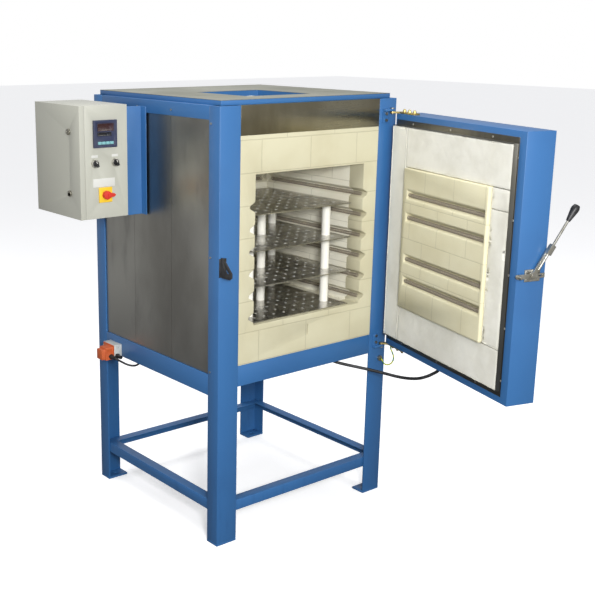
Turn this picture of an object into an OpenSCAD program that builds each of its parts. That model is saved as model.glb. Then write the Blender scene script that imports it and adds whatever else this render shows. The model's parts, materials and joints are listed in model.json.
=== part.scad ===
// Front-loading jewellery kiln on a welded floor stand, with a side-hung door.
// X runs to the right along the front, Y to the back and Z up, in millimetres.
// The origin lies on the floor, midway between the four anchor holes of the feet.

/* [Frame] */
// Width of the welded frame over its posts
frame_w = 850; // [820:1:900]
// Depth of the welded frame over its posts
frame_d = 800; // [780:1:860]
// Height of the posts above the floor
frame_h = 1600; // [1590:1:1640]
// Width of a post's flange on the front and the rear
post_front_w = 90; // [80:1:100]
// Width of a post's flange on the sides
post_side_w = 60; // [50:1:70]
// Thickness of the posts and of the rails
post_t = 6; // [5:0.5:8]
// Thickness of the foot plates
foot_t = 8; // [6:0.5:12]
// Diameter of the anchor hole in each foot plate
anchor_d = 11; // [9:0.5:14]
// Height of the front and rear stretchers' lower edge
stretcher_z = 117; // [90:1:150]
// Height of the side stretchers' lower edge above that of the front one
stretcher_step = 7; // [5:1:20]
// Leg of the stretcher angles
stretcher_w = 40; // [30:1:50]
// Thickness of the stretcher angles
stretcher_t = 4; // [3:0.5:5]

/* [Rails and panels] */
// Height of the front bottom rail's lower edge
front_rail_z = 603; // [590:1:620]
// Height of the side bottom rails' lower edge
side_rail_z = 573; // [560:1:588]
// Depth of the bottom rails
rail_h = 78; // [70:1:85]
// Flange of the bottom rails that carries the floor pan
rail_flange = 50; // [40:1:60]
// Height of the top rails
top_rail_h = 48; // [40:1:60]
// Sheet thickness of the panels
sheet_t = 1.2; // [1:0.1:2]
// Height of the stainless header above the brick front
header_h = 102; // [90:1:110]
// Inset of the top cover from the frame
cover_inset = 18; // [12:1:24]
// Height of the top cover's rim
cover_h = 18; // [12:1:24]
// Size of the opening in the top cover, across and front to back
top_open = [305, 305]; // [250:1:340]
// Place of that opening's centre
top_open_at = [-32, -97]; // [-110:1:20]
// Depth of the well below that opening
well_h = 60; // [50:1:64]

/* [Chamber] */
// Width of the firing chamber
chamber_w = 530; // [500:1:550]
// Height of the firing chamber
chamber_h = 542; // [530:1:560]
// Depth of the firing chamber from the brick face
chamber_d = 560; // [540:1:600]
// Height of the hearth above the floor
hearth_z = 820; // [800:1:830]
// Thickness of the insulating bricks
brick_t = 76; // [70:1:80]
// Rows of heating elements on each wall
wall_rows = 6; // [4:1:6]
// Distance between two rows
row_pitch = 80; // [76:1:82]
// Height of the lowest row above the hearth
row_z0 = 28; // [26:1:34]
// Depth of an element groove in the wall
groove_d = 24; // [22:1:28]
// Height of a groove at the wall's face
groove_h = 36; // [32:1:38]
// Diameter of an element's coil
coil_d = 15; // [12:0.5:17]
// Diameter of the roof vent
vent_d = 50; // [40:1:60]

/* [Kiln furniture] */
// Width and depth of a perforated shelf
shelf_size = 480; // [460:1:484]
// Thickness of a shelf
shelf_t = 3; // [2:0.5:5]
// Distance between two shelves
shelf_pitch = 131; // [110:1:150]
// Distance of the shelves behind the brick face
shelf_y = 20; // [15:1:30]
// Gap between the shelves and the left wall
shelf_gap = 10; // [6:1:20]
// Pitch of the holes in a shelf
hole_pitch = 48; // [40:1:60]
// Diameter of the holes in a shelf
hole_d = 9; // [6:0.5:12]
// Diameter of the tube props
prop_d = 33; // [28:1:38]
// Wall of the tube props
prop_wall = 6; // [4:0.5:8]

/* [Door] */
// Width of the door's casing
door_w = 773; // [760:1:780]
// Height of the door's casing
door_h = 904; // [880:1:920]
// Depth of the door's casing
door_t = 110; // [90:1:120]
// Height of the casing's lower edge
door_z = 641; // [636:1:650]
// Angle by which the door stands open
door_open = 73.7; // [0:0.1:120]
// Distance that the fibre lining stands proud of the casing
lining_proud = 21; // [18:1:26]
// Gap between the closed lining and the brick face
door_gap = 0.5; // [0.4:0.1:2]
// Distance from the casing's hinge edge to the right of the frame
hinge_edge = 44; // [40:1:50]
// Distance from the hinge axis to the casing's hinge edge
hinge_out = 13; // [11:0.5:16]
// Distance from the hinge axis to the brick face
hinge_front = 10; // [9:0.5:11]
// Diameter of the hinge pins
hinge_pin_d = 10; // [8:0.5:11]
// Running clearance of the hinge pins, on the radius
hinge_clear = 0.08; // [0.04:0.01:0.1]
// Size of the brick plug in the door, across and up
plug_w = 516; // [480:1:520]
// Height of the brick plug in the door
plug_h = 530; // [500:1:534]
// Distance that the plug stands proud of the lining
plug_proud = 10; // [6:1:16]
// Rows of heating elements in the door
door_row_z = [934, 1019, 1176, 1260]; // [900:1:1270]

/* [Door latch] */
// Height of the latch pivot
latch_z = 1084; // [1060:1:1100]
// Distance of the latch pivot from the casing's inner face
latch_in = 55; // [50:1:60]
// Length of the latch arm from the pivot to its catch pin
catch_r = 57; // [54:1:60]
// Diameter of the catch pin
catch_d = 10; // [8:0.5:11]
// Length of the lever from the pivot to its tip
lever_len = 268; // [240:1:290]
// Lean of the lever from upright, away from the kiln
lever_lean = 33; // [25:1:40]
// Turn of the lever from free to latched
latch_turn = 45; // [35:1:45]

/* [Control box] */
// Height of the control box
box_h = 400; // [380:1:420]
// Width of the control box, along the kiln's side
box_w = 316; // [310:1:330]
// Depth of the control box without its door
box_d = 176; // [160:1:190]
// Distance of the control box behind the front of the frame
box_y = 417; // [410:1:424]
// Height of the control box's lower edge
box_z = 1187; // [1170:1:1195]
// Distance between the control box and the frame
box_off = 97; // [85:1:105]
// Thickness of the control box's door
lid_t = 20; // [16:1:24]
// Side of the temperature controller's bezel
bezel = 96; // [92:1:100]

/* [Controls and wiring] */
// Diameter of the selector switches' collars
switch_d = 28; // [24:1:32]
// Height of the selector switches above the control box's lower edge
switch_z = 198; // [180:1:210]
// Side of the isolator's plate
isolator_w = 54; // [48:1:60]
// Height of the isolator above the control box's lower edge
isolator_z = 84; // [70:1:100]
// Distance between the isolator and the control box's door
isolator_x = 81; // [70:1:100]
// Size of a controller key, across
key_w = 14; // [12:1:16]
// Diameter of the door cable
cable_d = 12; // [10:1:14]
// Diameter of the earth wire
earth_d = 5; // [4:0.5:6]

/* [Hidden] */
$fn = 48;

// Gap that keeps pieces of the same assembly from rubbing
seat = 0.3;
eps = 1;

x_l = -frame_w / 2;
x_r = frame_w / 2;
y_f = -frame_d / 2;
y_b = frame_d / 2;
front_half = frame_w / 2 - post_front_w;
side_half = frame_d / 2 - post_side_w;
foot_hole = [post_front_w / 2 + post_t / 2, post_side_w / 2 + post_t / 2];

brick_z0 = front_rail_z + rail_h;
brick_z1 = frame_h - header_h;
ch_x = chamber_w / 2;
roof_z = hearth_z + chamber_h;
ch_back = y_f + chamber_d;
pan_z = front_rail_z + post_t;
cover_z = frame_h + cover_h;
well_z = cover_z - sheet_t - well_h;
panel_z0 = side_rail_z + rail_h - 12;
panel_z1 = frame_h - top_rail_h + 12;
panel_x = frame_w / 2 - post_t;
rear_y = y_b - post_t;
rows = [for (i = [0:wall_rows - 1]) hearth_z + row_z0 + i * row_pitch];

// A coil rests on the lower slope of its groove
groove_in = groove_h * 0.12;
slope = (groove_h / 2 - groove_in) / groove_d;
coil_in = groove_d * 0.46;
coil_drop = groove_h / 2 - slope * coil_in - (coil_d / 2 + seat) * sqrt(1 + slope * slope);

shelf_x0 = -ch_x + shelf_gap;
shelf_c = [shelf_x0 + shelf_size / 2, y_f + shelf_y + shelf_size / 2];
prop_at = [[0, 0], [190, -157], [190, 157], [-190, -157], [-190, 157]];

// Door in its closed place, swung about the hinge axis by door_open
hinge_x = x_r - hinge_edge + hinge_out;
hinge_y = y_f - hinge_front;
door_x1 = x_r - hinge_edge;
door_x0 = door_x1 - door_w;
door_y1 = y_f - lining_proud - door_gap;
door_y0 = door_y1 - door_t;
door_z1 = door_z + door_h;
skin = 2;
border = 34;
trim_top = 21;
trim_side = 6;
lining_x0 = door_x0 + border + trim_side;
lining_x1 = door_x1 - 8;
lining_z0 = door_z + 23 + trim_top;
lining_z1 = door_z1 - 21 - trim_top;
plug_z = hearth_z + chamber_h / 2;
plug_y0 = door_y1 - 40;
plug_y1 = door_y1 + lining_proud + plug_proud;

latch_x = door_x0;
latch_y = door_y1 - latch_in;
arm_off = 7;
arm_x = latch_x - arm_off;

box_x1 = x_l - box_off;
box_x0 = box_x1 - box_d;
lid_x0 = box_x0 - lid_t - 1;
box_y0 = y_f + box_y;
box_y1 = box_y0 + box_w;
box_z1 = box_z + box_h;
bezel_x = lid_x0 + 54;
bezel_z = box_z1 - 51 - bezel;
switches = [[lid_x0 + 60, box_z + switch_z], [lid_x0 + 144, box_z + switch_z]];
isolator = [lid_x0 + lid_t + isolator_x, box_z + isolator_z];
key_x = [for (i = [0:3]) bezel_x + 17 + i * (key_w + 2.5)];

strap_t = 6;
tongue_t = 8;
plug_x = plug_w / 2;
top_strap_z = door_z1;
top_tongue_z = door_z1 + strap_t + 2;
low_strap_z = door_z - strap_t;
low_tongue_z = low_strap_z - 2 - tongue_t;
bracket_x1 = hinge_x - 11;
bracket_x0 = bracket_x1 - 32;
arm_t = 6;
pivot_d = 10;
rod_x = -arm_off - arm_t - 4;
rod_end = lever_len - 72;
keeper_x = arm_x - arm_t - 15;
catch_gap = catch_d / 2 + seat;
lip = 30;
lock_y = box_y0 + 73;
lock_z = [box_z + 88, box_z1 - 93];
lid_hinge = [box_x0 - 0.5, box_y1 + 5];
lid_hinge_z = [box_z + 60, box_z1 - 80];
key_z = bezel_z + 11;
knob_d = 20;
knob_clear = 0.08;
supply_y = y_f + 628;
gland_h = 14;
cable_clear = 0.8;
// Route of the door cable, from below the body to the door's underside
cable_route = [[190, -330, 607], [190, -330, 599], [191, -333, 590], [198, -345, 582],
    [214, -368, 576], [250, -408, 567], [290, -450, 557], [322, -500, 549],
    [342, -550, 545], [352, -598, 549], [357, -642, 560], [360, -680, 578],
    [362, -709, 597], [362, -726, 610], [362, -733, 620], [362, -734, 628.5], [362, -734, 640]];
// Route of the supply lead, from its gland to the underside of the floor pan
supply_route = [[-471.5, 209.5, 580], [-471.5, 196, 580], [-470, 180, 578], [-464, 160, 573],
    [-454, 142, 567], [-440, 131, 563], [-425, 127, 562], [-410, 127, 566],
    [-399, 128, 576], [-393, 129, 590], [-391, 129, 608.4]];
// Route of the earth wire, from its stud on the post to the door's underside
earth_route = [[396, -411.4, 573], [399, -413, 567], [402, -419, 556], [406, -428, 550],
    [412, -440, 552], [417, -450, 562], [419, -455, 576], [417, -456, 592],
    [413.5, -452, 606], [410.5, -446.5, 620], [410, -445.3, 634.5]];

module slab(x0, x1, y0, y1, z0, z1) {
    translate([x0, y0, z0]) cube([x1 - x0, y1 - y0, z1 - z0]);
}

module ring(w, d, t, h) {
    difference() {
        translate([-w / 2, -d / 2, 0]) cube([w, d, h]);
        translate([-w / 2 + t, -d / 2 + t, -eps]) cube([w - 2 * t, d - 2 * t, h + 2 * eps]);
    }
}

// Copies to the four corners, mirrored
module corners() {
    for (mx = [0, 1], my = [0, 1])
        mirror([mx, 0, 0]) mirror([0, my, 0]) translate([x_l, y_f, 0]) children();
}

module front_and_rear() {
    children();
    mirror([0, 1, 0]) children();
}

module left_and_right() {
    children();
    mirror([1, 0, 0]) children();
}

module angle_2d(a, b, t) {
    polygon([[0, 0], [a, 0], [a, t], [t, t], [t, b], [0, b]]);
}

module post() {
    translate([x_l, y_f, foot_t]) linear_extrude(frame_h - foot_t) angle_2d(post_front_w, post_side_w, post_t);
}

module front_posts() {
    color("steelblue") left_and_right() post();
}

module rear_posts() {
    color("steelblue") mirror([0, 1, 0]) left_and_right() post();
}

module foot_plates() {
    color("steelblue") corners() linear_extrude(foot_t) difference() {
        square([post_front_w, post_side_w]);
        translate(foot_hole) circle(d = anchor_d);
    }
}

module stretchers() {
    z1 = stretcher_z + stretcher_w;
    z2 = z1 + stretcher_step;
    inner = post_t + stretcher_t;
    leg = post_t + stretcher_w;
    color("steelblue") {
        front_and_rear() {
            slab(x_l + post_t, x_r - post_t, y_f + post_t, y_f + inner, stretcher_z, z1);
            slab(x_l + inner, x_r - inner, y_f + inner, y_f + leg, z1 - stretcher_t, z1);
        }
        left_and_right() {
            slab(x_l + post_t, x_l + inner, y_f + inner, y_b - inner, z2 - stretcher_w, z2);
            slab(x_l + inner, x_l + leg, y_f + leg, y_b - leg, z2 - stretcher_t, z2);
        }
    }
}

module bottom_rails() {
    color("steelblue") {
        front_and_rear() {
            slab(-front_half, front_half, y_f, y_f + post_t, front_rail_z, brick_z0);
            slab(-front_half, front_half, y_f + post_t, y_f + rail_flange, front_rail_z, pan_z);
        }
        left_and_right()
            slab(x_l, x_l + post_t, -side_half, side_half, side_rail_z, side_rail_z + rail_h);
    }
}

module top_rails() {
    z0 = frame_h - top_rail_h;
    color("steelblue") {
        left_and_right() {
            slab(x_l, x_l + post_t, -side_half, side_half, z0, frame_h);
            slab(x_l + post_t, x_l + 40, -side_half, side_half, frame_h - post_t, frame_h);
        }
        slab(-front_half, front_half, rear_y, y_b, z0, frame_h);
        slab(-front_half, front_half, y_b - 40, rear_y, frame_h - post_t, frame_h);
    }
}

module floor_pan() {
    color("silver") slab(-panel_x + 2, panel_x - 2, y_f + post_t + 2, rear_y - 2, pan_z, pan_z + 2);
}

// Three sheets side by side, held behind the posts and the rails
module side_sheets() {
    seams = [y_f + 12, y_f + 290, y_f + 532, y_b - 12];
    for (i = [0:2])
        slab(-panel_x, -panel_x + sheet_t, seams[i] + 0.5, seams[i + 1] - 0.5, panel_z0, panel_z1);
}

module side_panels() {
    color("dimgray") left_and_right() side_sheets();
}

tc_z = roof_z - 90;
module tc_bore(d) {
    translate([0, 0, tc_z]) rotate([-90, 0, 0]) cylinder(d = d, h = frame_d, $fn = 24);
}

module rear_panel() {
    color("dimgray") difference() {
        slab(-panel_x + 12, panel_x - 12, rear_y - sheet_t, rear_y, panel_z0, panel_z1);
        tc_bore(16);
    }
}

cover_w = 520;
cover_d = 56;
vent_pitch = 14;
module terminal_cover() {
    z0 = hearth_z - 30;
    z1 = roof_z + 30;
    color("steelblue") difference() {
        slab(-cover_w / 2, cover_w / 2, rear_y, rear_y + cover_d, z0, z1);
        slab(-cover_w / 2 + sheet_t, cover_w / 2 - sheet_t, rear_y - eps, rear_y + cover_d - sheet_t,
            z0 + sheet_t, z1 - sheet_t);
        for (i = [0:5], z = [z0 + 30, z1 - 30 - 5 * vent_pitch], x = [-120, 120])
            slab(x - 80, x + 80, rear_y + cover_d - 3, rear_y + cover_d + eps,
                z + i * vent_pitch, z + i * vent_pitch + 5);
    }
}

module header_panel() {
    color("darkkhaki") {
        slab(-front_half, front_half, y_f, y_f + sheet_t, brick_z1, frame_h);
        slab(-front_half, front_half, y_f + sheet_t, y_f + 38, frame_h - sheet_t, frame_h);
    }
}

module top_cover() {
    w = frame_w - 2 * cover_inset;
    d = frame_d - 2 * cover_inset;
    color("steelblue") {
        translate([0, 0, frame_h]) ring(w, d, 2.5, cover_h - sheet_t);
        translate([0, 0, frame_h]) difference() {
            translate([-w / 2 + 2.5, -d / 2 + 2.5, 0]) cube([w - 5, d - 5, 2.5]);
            translate([-w / 2 + 35, -d / 2 + 35, -eps]) cube([w - 70, d - 70, 5]);
        }
        translate([top_open_at[0], top_open_at[1], well_z])
            ring(top_open[0] + 4, top_open[1] + 4, 2, well_h);
    }
}

module top_sheet() {
    w = frame_w - 2 * cover_inset;
    d = frame_d - 2 * cover_inset;
    color("darkgray") translate([0, 0, cover_z - sheet_t]) linear_extrude(sheet_t) difference() {
        square([w, d], center = true);
        translate(top_open_at) square(top_open, center = true);
    }
}

module vent_bore(d, z0, z1) {
    translate([top_open_at[0], top_open_at[1], z0]) cylinder(d = d, h = z1 - z0);
}

// A loose brick bung: a square head on a round stem that hangs in the roof vent
module vent_bung() {
    color("wheat") {
        translate([top_open_at[0], top_open_at[1], well_z]) rotate([0, 0, 12]) difference() {
            translate([-58, -52, 0]) cube([116, 104, 46]);
            translate([0, -60, 46]) rotate([-90, 0, 0]) cylinder(d = 20, h = 120);
        }
        vent_bore(vent_d - 2, roof_z + 6, well_z);
    }
}

module brick_block() {
    slab(-ch_x - brick_t, ch_x + brick_t, y_f + brick_t, ch_back + brick_t,
        hearth_z - brick_t, roof_z + brick_t);
}

module backup_insulation() {
    color("ivory") difference() {
        slab(-panel_x + sheet_t + seat, panel_x - sheet_t - seat, y_f + post_t, rear_y - sheet_t - seat,
            pan_z + 2, well_z);
        brick_block();
        slab(-front_half, front_half, y_f - eps, y_f + brick_t, brick_z0 - post_t, brick_z1);
        slab(-front_half, front_half, y_f - eps, y_f + rail_flange, pan_z, brick_z0);
        slab(-front_half, front_half, y_f - eps, y_f + 40, brick_z1 - eps, frame_h);
        tc_bore(14);
        vent_bore(vent_d + 4, roof_z, well_z + eps);
    }
}

module groove_2d() {
    polygon([[eps, -groove_h / 2 - slope * eps], [eps, groove_h / 2 + slope * eps],
        [-groove_d, groove_in], [-groove_d, -groove_in]]);
}

// Grooves of the left wall, cut through the brick front as well
module side_grooves() {
    for (z = rows)
        translate([-ch_x, ch_back, z]) rotate([90, 0, 0])
            linear_extrude(chamber_d + eps) groove_2d();
}

module back_grooves() {
    for (z = rows)
        translate([-ch_x, ch_back, z]) rotate([90, 0, 90])
            linear_extrude(chamber_w) mirror([1, 0]) groove_2d();
}

module brick_front() {
    color("lemonchiffon") difference() {
        slab(-front_half, front_half, y_f, y_f + brick_t, brick_z0, brick_z1);
        slab(-ch_x, ch_x, y_f - eps, y_f + brick_t + eps, hearth_z, roof_z);
        left_and_right() side_grooves();
        translate([0, y_f - eps, hearth_z - 60]) rotate([-90, 0, 0]) linear_extrude(13) square([6, 40], center = true);
    }
}

module side_walls() {
    color("lemonchiffon") left_and_right() difference() {
        slab(-ch_x - brick_t, -ch_x, y_f + brick_t, ch_back, hearth_z, roof_z);
        side_grooves();
    }
}

module back_wall() {
    color("lemonchiffon") difference() {
        slab(-ch_x - brick_t, ch_x + brick_t, ch_back, ch_back + brick_t, hearth_z, roof_z);
        back_grooves();
        tc_bore(14);
    }
}

module roof_bricks() {
    color("lemonchiffon") difference() {
        slab(-ch_x - brick_t, ch_x + brick_t, y_f + brick_t, ch_back + brick_t, roof_z, roof_z + brick_t);
        vent_bore(vent_d, roof_z - eps, roof_z + brick_t + eps);
    }
}

module hearth_bricks() {
    color("lemonchiffon") slab(-ch_x - brick_t, ch_x + brick_t, y_f + brick_t, ch_back + brick_t,
        hearth_z - brick_t, hearth_z);
}

module coil(len) {
    cylinder(d = coil_d, h = len, $fn = 24);
}

module wall_elements() {
    end = 20;
    color("gray") {
        left_and_right() for (z = rows)
            translate([-ch_x - coil_in, y_f + end, z - coil_drop]) rotate([-90, 0, 0])
                coil(chamber_d - 2 * end);
        for (z = rows)
            translate([-ch_x + end, ch_back + coil_in, z - coil_drop]) rotate([0, 90, 0])
                coil(chamber_w - 2 * end);
    }
}

// Ceramic sheath through the back wall with its terminal head behind
module thermocouple() {
    color("white") translate([0, ch_back - 70, tc_z]) rotate([-90, 0, 0])
        cylinder(d = 12, h = rear_y - ch_back + 70 + 4);
    color("silver") translate([0, rear_y + 4, tc_z]) rotate([-90, 0, 0]) cylinder(d = 38, h = 30);
}

module shelves() {
    n = floor((shelf_size - hole_pitch) / hole_pitch / 2);
    color("dimgray") for (i = [0:3])
        translate([shelf_c[0], shelf_c[1], hearth_z + i * shelf_pitch])
            linear_extrude(shelf_t) difference() {
                square([shelf_size, shelf_size], center = true);
                for (a = [-n:n], b = [-n:n])
                    translate([a, b] * hole_pitch) circle(d = hole_d, $fn = 16);
            }
}

module shelf_props() {
    color("white") for (i = [0:2], p = prop_at)
        translate([shelf_c[0] + p[0], shelf_c[1] + p[1], hearth_z + i * shelf_pitch + shelf_t])
            difference() {
                cylinder(d = prop_d, h = shelf_pitch - shelf_t);
                translate([0, 0, -eps]) cylinder(d = prop_d - 2 * prop_wall, h = shelf_pitch + eps);
            }
}

// Carries the closed door's pieces to its open place
module on_door() {
    translate([hinge_x, hinge_y, 0]) rotate([0, 0, door_open]) translate([-hinge_x, -hinge_y, 0])
        children();
}

module door_casing() {
    color("steelblue") on_door() difference() {
        slab(door_x0, door_x1, door_y0, door_y1, door_z, door_z1);
        slab(door_x0 + skin, door_x1 - skin, door_y0 + skin, door_y1 - skin, door_z + skin, door_z1 - skin);
        slab(door_x0 + border + 20, door_x1 - border - 20, door_y1 - skin - eps, door_y1 + eps,
            door_z + border + 20, door_z1 - border - 20);
    }
}

// Stainless frame round three sides of the lining: a screwed flange and a lip
module door_trim() {
    x0 = lining_x0 - trim_side;
    z0 = lining_z0 - trim_top;
    z1 = lining_z1 + trim_top;
    lip_y = door_y1 + lining_proud - 2;
    color("darkkhaki") on_door() difference() {
        union() {
            slab(x0, lining_x1, door_y1, door_y1 + sheet_t, z0, z1);
            slab(lining_x0 - sheet_t, lining_x1, door_y1, lip_y, lining_z0 - sheet_t, lining_z1 + sheet_t);
        }
        slab(lining_x0, lining_x1 + eps, door_y1 - eps, lip_y + eps, lining_z0, lining_z1);
    }
}

// Fibre backing in the casing and four blanket strips round the brick plug
module door_lining() {
    y0 = door_y1;
    y1 = door_y1 + lining_proud;
    z0 = plug_z - plug_h / 2;
    z1 = plug_z + plug_h / 2;
    color("ivory") on_door() {
        difference() {
            union() {
                slab(door_x0 + skin, door_x1 - skin, door_y0 + skin, y0 - skin, door_z + skin, door_z1 - skin);
                slab(door_x0 + border + 20, door_x1 - border - 20, y0 - skin - eps, y0,
                    door_z + border + 20, door_z1 - border - 20);
            }
            slab(-plug_x, plug_x, plug_y0, y0 + eps, z0, z1);
        }
        slab(plug_x, lining_x1, y0, y1, lining_z0, lining_z1);
        slab(lining_x0, plug_x, y0, y1, z1, lining_z1);
        slab(lining_x0, -plug_x, y0, y1, lining_z0, z1);
        slab(-plug_x, plug_x, y0, y1, lining_z0, z0);
    }
}

module door_bricks() {
    color("lemonchiffon") on_door() difference() {
        slab(-plug_x, plug_x, plug_y0, plug_y1, plug_z - plug_h / 2, plug_z + plug_h / 2);
        for (z = door_row_z)
            translate([-plug_x + 12, plug_y1, z]) rotate([90, 0, 90])
                linear_extrude(plug_w - 36) groove_2d();
    }
}

// Four coils joined in two pairs by links at the free side
module door_elements() {
    x0 = -plug_x + 14;
    y = plug_y1 - coil_in;
    color("gray") on_door() {
        for (z = door_row_z)
            translate([x0, y, z - coil_drop]) rotate([0, 90, 0]) coil(plug_w - 40);
        for (i = [0, 2])
            translate([x0 + 5, plug_y1 + 2, door_row_z[i] - coil_drop])
                cylinder(d = 3, h = door_row_z[i + 1] - door_row_z[i]);
        for (z = door_row_z)
            translate([x0 + 5, y, z - coil_drop]) rotate([-90, 0, 0]) cylinder(d = 3, h = coil_in + 3.5);
    }
}

// Plate on the post with a tongue that holds the hinge pin
module hinge_bracket(z0, z1, tongue_z) {
    difference() {
        union() {
            slab(bracket_x0, bracket_x1, y_f - 4, y_f, z0, z1);
            slab(bracket_x0, hinge_x, y_f - 18, y_f, tongue_z, tongue_z + tongue_t);
            translate([hinge_x, hinge_y, tongue_z]) cylinder(d = 16, h = tongue_t);
        }
        translate([hinge_x, hinge_y, tongue_z - eps]) cylinder(d = hinge_pin_d + 0.1, h = tongue_t + 2 * eps);
    }
}

module hinge_brackets() {
    color("steelblue") {
        hinge_bracket(lining_z1 + 6, top_tongue_z + tongue_t, top_tongue_z);
        hinge_bracket(low_tongue_z, lining_z0 - 6, low_tongue_z);
    }
}

module hinge_pins() {
    color("silver") {
        translate([hinge_x, hinge_y, top_strap_z - 3]) {
            cylinder(d = hinge_pin_d, h = top_tongue_z + tongue_t - top_strap_z + 3);
            translate([0, 0, top_tongue_z + tongue_t - top_strap_z + 3]) cylinder(d = 16, h = 4);
        }
        translate([hinge_x, hinge_y, low_tongue_z - 4]) {
            cylinder(d = 16, h = 4);
            cylinder(d = hinge_pin_d, h = door_z - low_tongue_z + 4);
        }
        translate([hinge_x, hinge_y, low_tongue_z + tongue_t]) difference() {
            cylinder(d = 17, h = 2 - 0.05);
            translate([0, 0, -eps]) cylinder(d = hinge_pin_d + 0.1, h = 4);
        }
    }
}

module hinge_strap() {
    linear_extrude(strap_t) difference() {
        union() {
            translate([hinge_x, hinge_y]) circle(d = 18);
            polygon([[hinge_x - 7, hinge_y + 5], [door_x1 - 12, door_y1 - 4], [door_x1 - 110, door_y1 - 4],
                [door_x1 - 110, door_y1 - 32], [door_x1, door_y1 - 32], [hinge_x + 4, hinge_y - 8]]);
        }
        translate([hinge_x, hinge_y]) circle(d = hinge_pin_d + 2 * hinge_clear);
    }
    for (dx = [25, 60, 95])
        translate([door_x1 - dx, door_y1 - 18, strap_t]) {
            cylinder(d = 13, h = 7, $fn = 6);
            cylinder(d = 8, h = 11);
        }
}

module hinge_straps() {
    color("goldenrod") on_door() {
        translate([0, 0, top_strap_z]) hinge_strap();
        translate([0, 0, low_strap_z + strap_t]) mirror([0, 0, 1]) hinge_strap();
    }
}

// Places children at the latch pivot: X points away from the door's edge, Y to the kiln
module at_latch() {
    on_door() translate([latch_x, latch_y, latch_z]) children();
}

module latch_plate() {
    color("silver") at_latch() {
        translate([-4, -34, -20]) cube([4, 60, 40]);
        rotate([0, -90, 0]) {
            cylinder(d = 18, h = arm_off - seat);
            cylinder(d = pivot_d, h = arm_off + arm_t + seat);
            translate([0, 0, arm_off + arm_t + seat]) cylinder(d = 17, h = 4, $fn = 6);
        }
        for (y = [-26, 18], z = [-13, 13])
            translate([-4, y, z]) rotate([0, -90, 0]) cylinder(d = 8, h = 2.2, $fn = 6);
    }
}

// Bell-crank lever: a level arm with the catch pin, a leaning bar and the lever rod
module latch_lever() {
    color("silver") at_latch() {
        translate([-arm_off - arm_t, 0, 0]) rotate([90, 0, 90]) linear_extrude(arm_t) difference() {
            union() {
                circle(d = 26);
                translate([-45, -7.5]) square([45 + catch_r, 15]);
                translate([catch_r, 0]) circle(d = 15);
                rotate(lever_lean) translate([-10, 0]) square([16, 112]);
            }
            circle(d = pivot_d + 0.1);
            translate([-36, -2.5]) square([16, 5]);
        }
        translate([-arm_off - arm_t + 1, catch_r, 0]) rotate([0, -90, 0]) cylinder(d = catch_d, h = 18);
        rotate([lever_lean, 0, 0]) {
            translate([rod_x - 5, -12, 84]) cube([14, 18, 34]);
            translate([rod_x, -2, 24]) cylinder(d = 9, h = rod_end - 12);
        }
    }
}

module lever_grip() {
    color("black") at_latch() rotate([lever_lean, 0, 0])
        translate([rod_x, -2, 12 + rod_end])
            rotate_extrude() polygon([[0, 0], [7, 0], [13.5, 40], [13.5, 48], [10, 58], [0, 60]]);
}

// Wedge plate on the post whose curved slot draws the catch pin in
module latch_keeper() {
    pivot = [y_f - lining_proud - door_gap - latch_in, latch_z];
    z0 = latch_z - 66;
    color("dimgray") {
        slab(keeper_x - 5, keeper_x + 25, y_f - 4, y_f, z0, z0 + 66);
        translate([keeper_x, 0, 0]) rotate([90, 0, 90]) linear_extrude(6) difference() {
            polygon([[y_f - 4, z0], [y_f - 4, z0 + 70], [y_f - 11, z0 + 70], [y_f - 30, latch_z - 10],
                [y_f - 62, latch_z - 42], [y_f - 62, z0 + 8], [y_f - 52, z0]]);
            intersection() {
                translate(pivot) difference() {
                    circle(r = catch_r + catch_gap);
                    circle(r = catch_r - catch_gap);
                }
                translate([y_f - 50, latch_z - 46]) square([60, 80]);
            }
        }
    }
}

// Hat-shaped channel that holds the control box off the kiln's side
module box_bracket() {
    z0 = box_z - 11;
    z1 = box_z1 - 12;
    w = [box_y0 + 51, box_y1 - 51];
    color("steelblue") {
        slab(box_x1, box_x1 + 3, w[0], w[1], z0, z1);
        slab(box_x1 + 3, x_l, w[0], w[0] + 3, z0, z1);
        slab(box_x1 + 3, x_l, w[1] - 3, w[1], z0, z1);
        slab(x_l - 3, x_l, w[0] - 32, w[0], z0, z1);
        slab(x_l - 3, x_l, w[1], w[1] + 32, z0, z1);
    }
}

module front_hole(at, d) {
    translate([at[0], box_y0 - eps, at[1]]) rotate([-90, 0, 0]) cylinder(d = d, h = 6);
}

module lid_knuckle(z, h, side) {
    translate([lid_hinge[0], lid_hinge[1], z]) {
        cylinder(d = 9, h = h);
        translate([side > 0 ? 0 : -14, -5, 0]) cube([14, 6, h]);
    }
}

module control_box() {
    t = 2;
    color("gainsboro") difference() {
        union() {
            slab(box_x0, box_x1, box_y0, box_y1, box_z, box_z1);
            for (z = lid_hinge_z) lid_knuckle(z, 10, 1);
            for (z = lid_hinge_z) translate([lid_hinge[0], lid_hinge[1], z]) cylinder(d = 5, h = 28);
        }
        slab(box_x0 + t, box_x1 - t, box_y0 + t, box_y1 - t, box_z + t, box_z1 - t);
        slab(box_x0 - eps, box_x0 + t + eps, box_y0 + lip, box_y1 - lip / 2, box_z + lip / 2, box_z1 - lip / 2);
        slab(bezel_x + 2, bezel_x + bezel - 2, box_y0 - eps, box_y0 + t + eps, bezel_z + 2, bezel_z + bezel - 2);
        for (p = switches) front_hole(p, 22.5);
        front_hole(isolator, 22.5);
    }
}

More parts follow.
